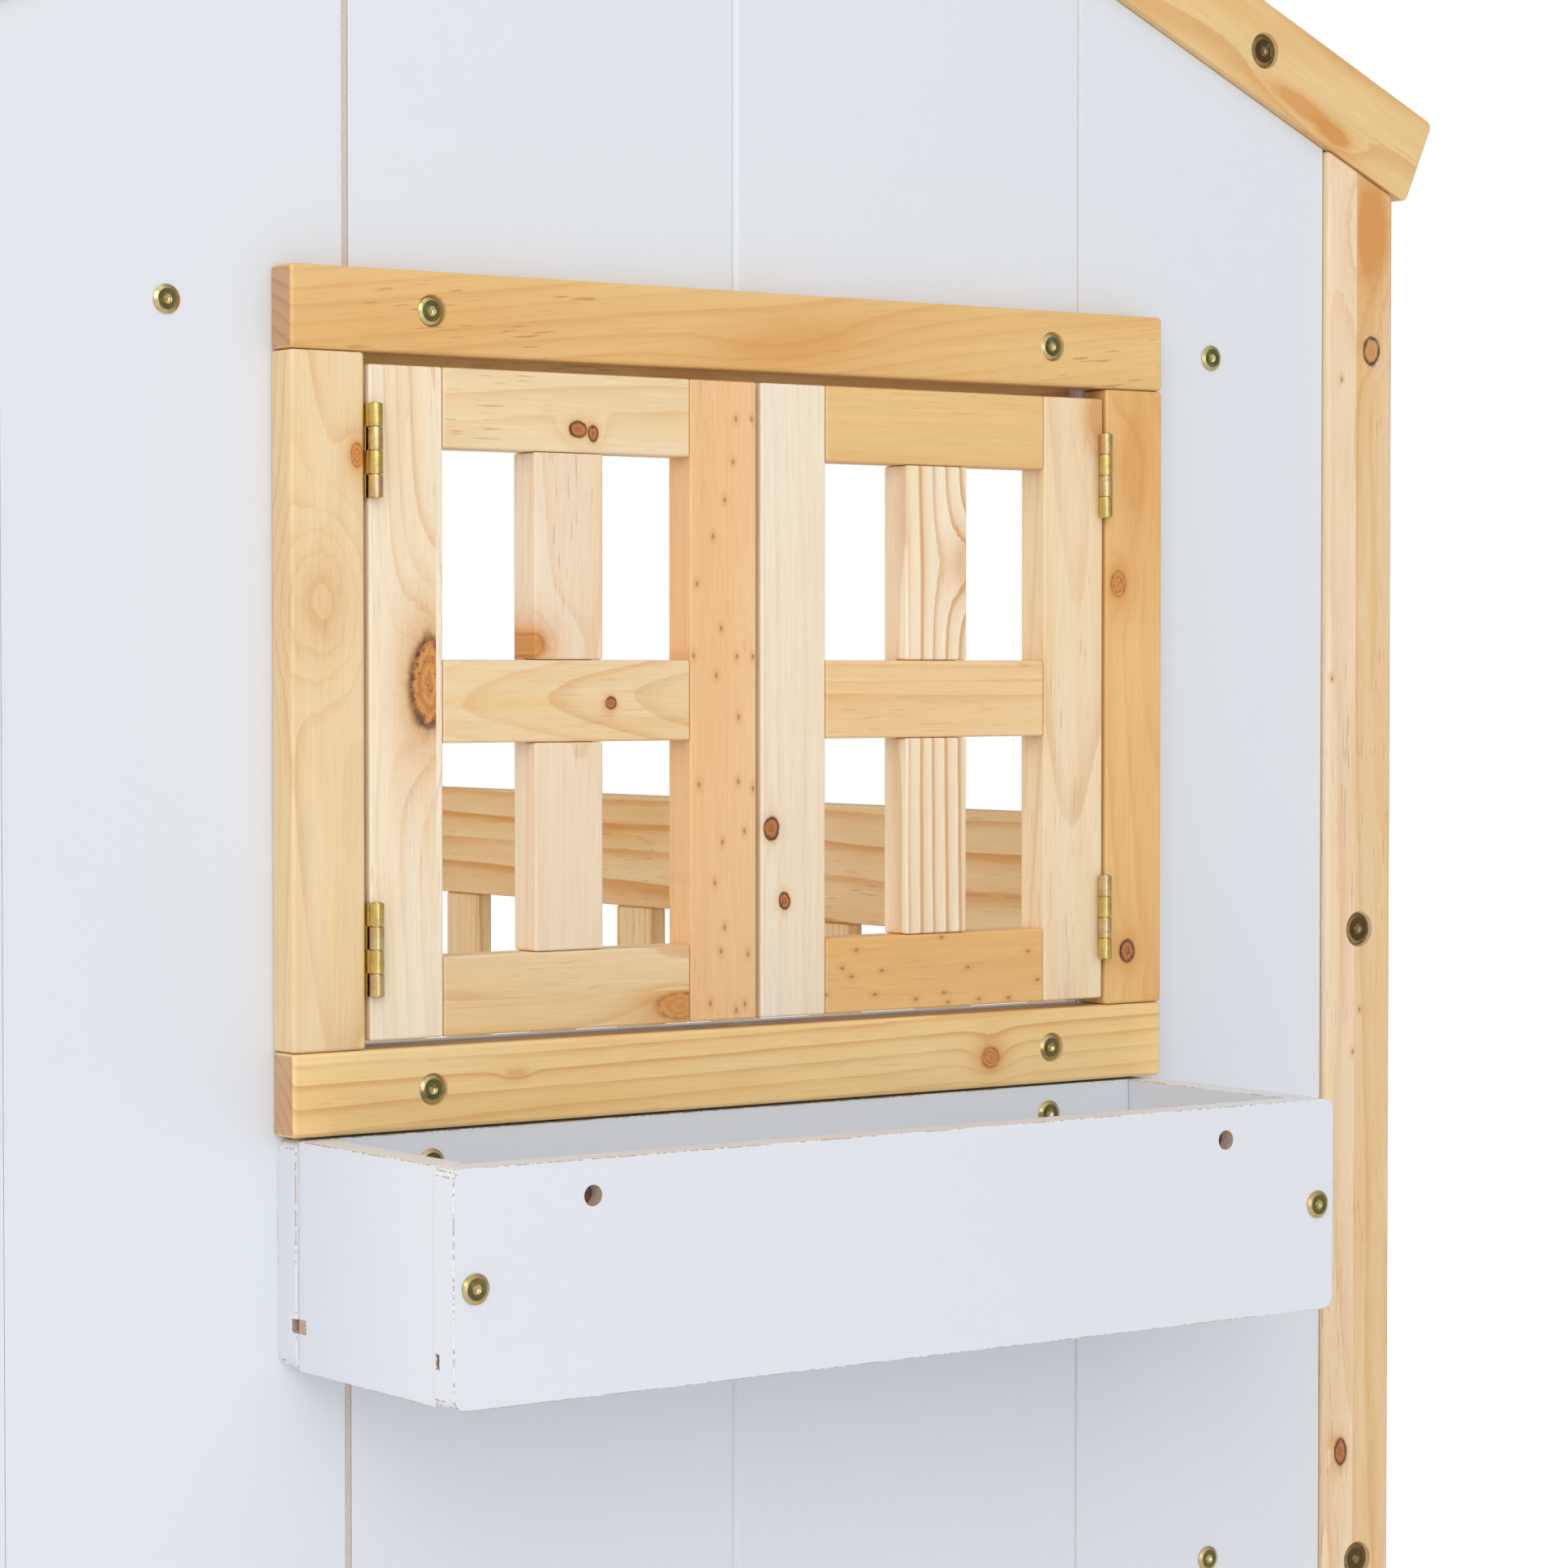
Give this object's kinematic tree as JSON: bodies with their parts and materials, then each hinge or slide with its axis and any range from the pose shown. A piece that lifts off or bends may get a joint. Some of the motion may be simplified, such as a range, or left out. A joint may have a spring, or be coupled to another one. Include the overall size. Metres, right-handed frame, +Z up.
{
  "type": "playhouse",
  "caption": "Wooden playhouse with a white boarded gable wall, a pine window with two hinged shutters, a white planter box, pine posts, rafters and side guard.",
  "frame": {"origin": "centre of the bounding box, on the ground", "axes": "+Z up, the window wall faces -Y, +X to the right seen from the front"},
  "size_m": [1.123, 1.4214, 1.4565],
  "materials": {
    "pine": "planed, clear satin lacquer",
    "white_mdf": "white satin coating on fibreboard, bare brown edges in places",
    "zinc": "yellow passivated zinc"
  },
  "bodies": {
    "house": {"wall_closing_strip": "white_mdf", "wall_board_left": "white_mdf", "wall_board_right": "white_mdf", "wall_board_over_window": "white_mdf", "wall_board_under_window": "white_mdf", "batten_upper": "pine", "batten_sill": "pine", "batten_lower": "pine", "post_front_left": "pine", "post_front_right": "pine", "post_rear_left": "pine", "post_rear_right": "pine", "rafter_front_left": "pine", "rafter_front_right": "pine", "rafter_rear_left": "pine", "rafter_rear_right": "pine", "purlin_left": "pine", "purlin_right": "pine", "ridge_beam": "pine", "window_frame_top": "pine", "window_frame_bottom": "pine", "window_frame_left": "pine", "window_frame_right": "pine", "left_lower_hinge_frame_leaf": "zinc", "left_upper_hinge_frame_leaf": "zinc", "right_lower_hinge_frame_leaf": "zinc", "right_upper_hinge_frame_leaf": "zinc", "planter_front": "white_mdf", "planter_back": "white_mdf", "planter_left": "white_mdf", "planter_right": "white_mdf", "planter_floor": "white_mdf", "side_rail_upper": "pine", "side_rail_lower": "pine", "side_baluster_1": "pine", "side_baluster_2": "pine", "side_baluster_3": "pine", "side_baluster_4": "pine", "side_baluster_5": "pine", "side_baluster_6": "pine", "side_baluster_7": "pine", "side_baluster_8": "pine", "rear_rail_upper": "pine", "rear_rail_lower": "pine"},
    "left_shutter": {"left_shutter_hinge_stile": "pine", "left_shutter_meeting_stile": "pine", "left_shutter_bottom_rail": "pine", "left_shutter_mid_rail": "pine", "left_shutter_top_rail": "pine", "left_shutter_muntin": "pine", "left_lower_hinge_shutter_leaf": "zinc", "left_upper_hinge_shutter_leaf": "zinc"},
    "right_shutter": {"right_shutter_hinge_stile": "pine", "right_shutter_meeting_stile": "pine", "right_shutter_bottom_rail": "pine", "right_shutter_mid_rail": "pine", "right_shutter_top_rail": "pine", "right_shutter_muntin": "pine", "right_lower_hinge_shutter_leaf": "zinc", "right_upper_hinge_shutter_leaf": "zinc"}
  },
  "joints": [
    {"name": "left_shutter_hinge", "type": "hinge", "parent": "house", "child": "left_shutter", "pos_m": [-0.2402, -0.55975, 0.831], "axis": [0, 0, -1], "range_deg": [0, 175]},
    {"name": "right_shutter_hinge", "type": "hinge", "parent": "house", "child": "right_shutter", "pos_m": [0.2698, -0.55975, 0.831], "axis": [0, 0, 1], "range_deg": [0, 175]}
  ]
}
